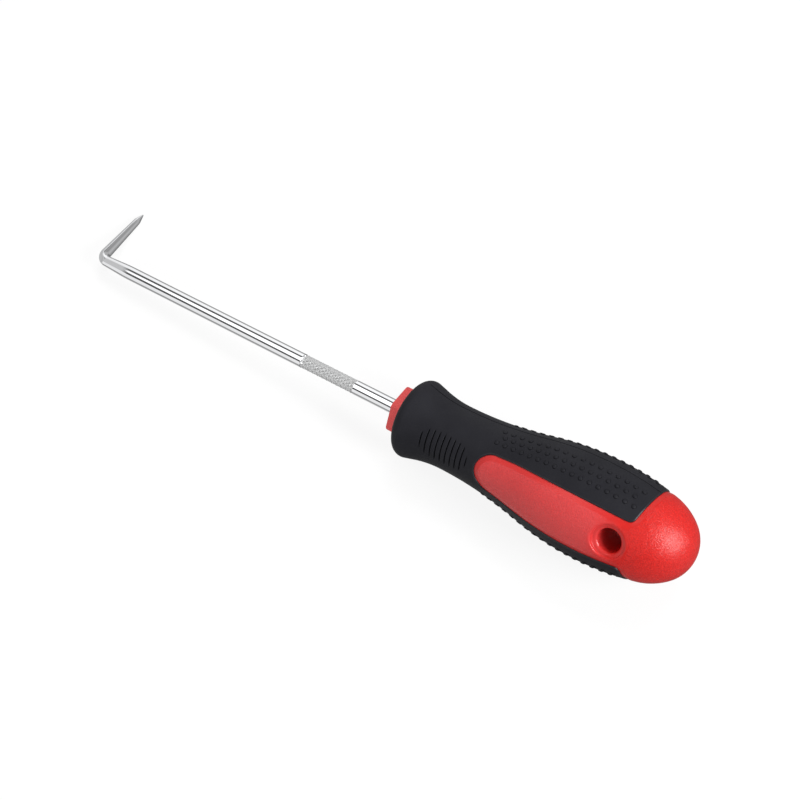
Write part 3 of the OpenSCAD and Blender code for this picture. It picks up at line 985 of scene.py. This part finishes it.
# LIGHT
# A tent of white cloth, which the plate mirrors: dark rings draw the lines along the rod, and the ends are
# plain, for the bent arm. A window at its top gleams on the butt, and a card at its back on the far edges.
# Three soft lamps do the rest, and only the key lamp is seen in the plate.
TENT_TILT = (0.0, -0.13, 1.0)
TENT_RINGS = [  # height on the tilted tent, brightness
    (-0.78, 0.4), (-0.66, 0.2), (-0.28, 0.2), (-0.2, 0.55),
    (0.5, 0.6), (0.57, 0.04), (0.75, 0.04), (0.81, 1.0),
]
TENT_PLAIN = [  # place along the tool, least brightness
    (-0.86, 1.0), (-0.67, 0.42), (-0.59, 0.0), (-0.36, 0.0), (-0.31, 0.45),
]
TENT_SIDES = [  # place along the tool, share of the brightness
    (-0.8, 0.5), (-0.72, 0.9), (-0.65, 1.5), (-0.36, 1.5),
    (-0.31, 0.46), (0.2, 0.36), (0.5, 0.5), (0.9, 0.86),
]
CARD_WAY = (0.0, 0.954, 0.3)
WINDOW_WAY = (0.8, 0.0, 0.6)
ROOM_LIGHT = 0.26
world = bpy.data.worlds.new("studio")
bpy.context.scene.world = world
world.use_nodes = True
nodes, links = world.node_tree.nodes, world.node_tree.links
way = nodes.new("ShaderNodeTexCoord").outputs["Generated"]
seen = nodes.new("ShaderNodeLightPath")


def facing(target):
    """How far a direction faces the target, from -1 to 1 for a target of length 1."""
    dot = nodes.new("ShaderNodeVectorMath")
    dot.operation = "DOT_PRODUCT"
    dot.inputs[1].default_value = target
    links.new(way, dot.inputs[0])
    return dot.outputs["Value"]


def fade(value, start, full, strength=1.0):
    """Rises from 0 to strength as the value goes from start to full."""
    span = nodes.new("ShaderNodeMapRange")
    span.inputs["From Min"].default_value = start
    span.inputs["From Max"].default_value = full
    span.inputs["To Max"].default_value = strength
    links.new(value, span.inputs["Value"])
    return span.outputs["Result"]


def greys(value, stops):
    """A ramp of greys along a value that goes from -1 to 1."""
    ramp = nodes.new("ShaderNodeValToRGB")
    set_ramp(ramp, [((place + 1) / 2, (grey, grey, grey)) for place, grey in stops])
    links.new(fade(value, -1.0, 1.0), ramp.inputs["Fac"])
    return ramp.outputs["Color"]


def both(operation, first, second):
    """A maths node of two values."""
    node = nodes.new("ShaderNodeMath")
    node.operation = operation
    links.new(first, node.inputs[0])
    links.new(second, node.inputs[1])
    return node.outputs["Value"]


def white(light, strength):
    """Makes a light from all round white."""
    light.inputs["Color"].default_value = (1, 1, 1, 1)
    light.inputs["Strength"].default_value = strength
    return light


def choice(ray, other, chosen):
    """One light for a kind of ray, and another for the rest."""
    mix = nodes.new("ShaderNodeMixShader")
    links.new(seen.outputs[ray], mix.inputs["Fac"])
    links.new(other, mix.inputs[1])
    links.new(chosen, mix.inputs[2])
    return mix.outputs["Shader"]


lengthways = facing((1.0, 0.0, 0.0))
level = both("MAXIMUM", greys(facing(TENT_TILT), TENT_RINGS), greys(lengthways, TENT_PLAIN))
level = both("MULTIPLY", level, greys(lengthways, TENT_SIDES))
card = fade(facing(CARD_WAY), start=0.7, full=0.9, strength=0.2)
window = fade(facing(WINDOW_WAY), start=0.86, full=0.93, strength=1.2)
tent = white(nodes.new("ShaderNodeBackground"), 1.0)
links.new(both("ADD", both("ADD", level, card), window), tent.inputs["Strength"])
room = white(nodes["Background"], ROOM_LIGHT)
backdrop = white(nodes.new("ShaderNodeBackground"), 1.0)
around = choice("Is Glossy Ray", room.outputs["Background"], tent.outputs["Background"])
around = choice("Is Camera Ray", around, backdrop.outputs["Background"])
links.new(around, nodes["World Output"].inputs["Surface"])


def lamp(name, place, aim, size, power, mirrored):
    """A soft oblong lamp that looks from its place at its aim."""
    data = bpy.data.lights.new(name, "AREA")
    data.shape = "RECTANGLE"
    data.size, data.size_y = size
    data.energy = power
    obj = bpy.data.objects.new(name, data)
    obj.location = place
    obj.visible_glossy = mirrored
    obj.rotation_euler = (Vector(aim) - Vector(place)).to_track_quat("-Z", "Y").to_euler()
    bpy.context.scene.collection.objects.link(obj)


lamp("key", place=(0.9, 0.1, 0.55), aim=(0.08, 0, 0), size=(0.4, 0.34), power=8.6, mirrored=True)
lamp("back", place=(0.02, 0.6, 0.8), aim=(0.03, 0, 0), size=(0.7, 0.4), power=5.6, mirrored=False)
lamp("fill", place=(0.15, -0.68, 0.63), aim=(0.05, 0, 0), size=(0.7, 0.5), power=3.0, mirrored=False)


# CAMERA
# A long lens, above the tool and a little beyond its butt, so that the handle comes out large and the bent
# arm lies at the far end. Colours are shown as they are written.
CAMERA_PLACE = (0.233143, -0.139553, 0.561083)
CAMERA_TURN = (23.04737, 11.60846, 32.67768)
LENS, SENSOR = 82.35, 36.0
camera_data = bpy.data.cameras.new("camera")
camera_data.sensor_width = SENSOR
camera_data.lens = LENS
camera = bpy.data.objects.new("camera", camera_data)
camera.location = CAMERA_PLACE
camera.rotation_euler = [math.radians(a) for a in CAMERA_TURN]
bpy.context.scene.collection.objects.link(camera)
bpy.context.scene.camera = camera
bpy.context.scene.view_settings.view_transform = "Standard"
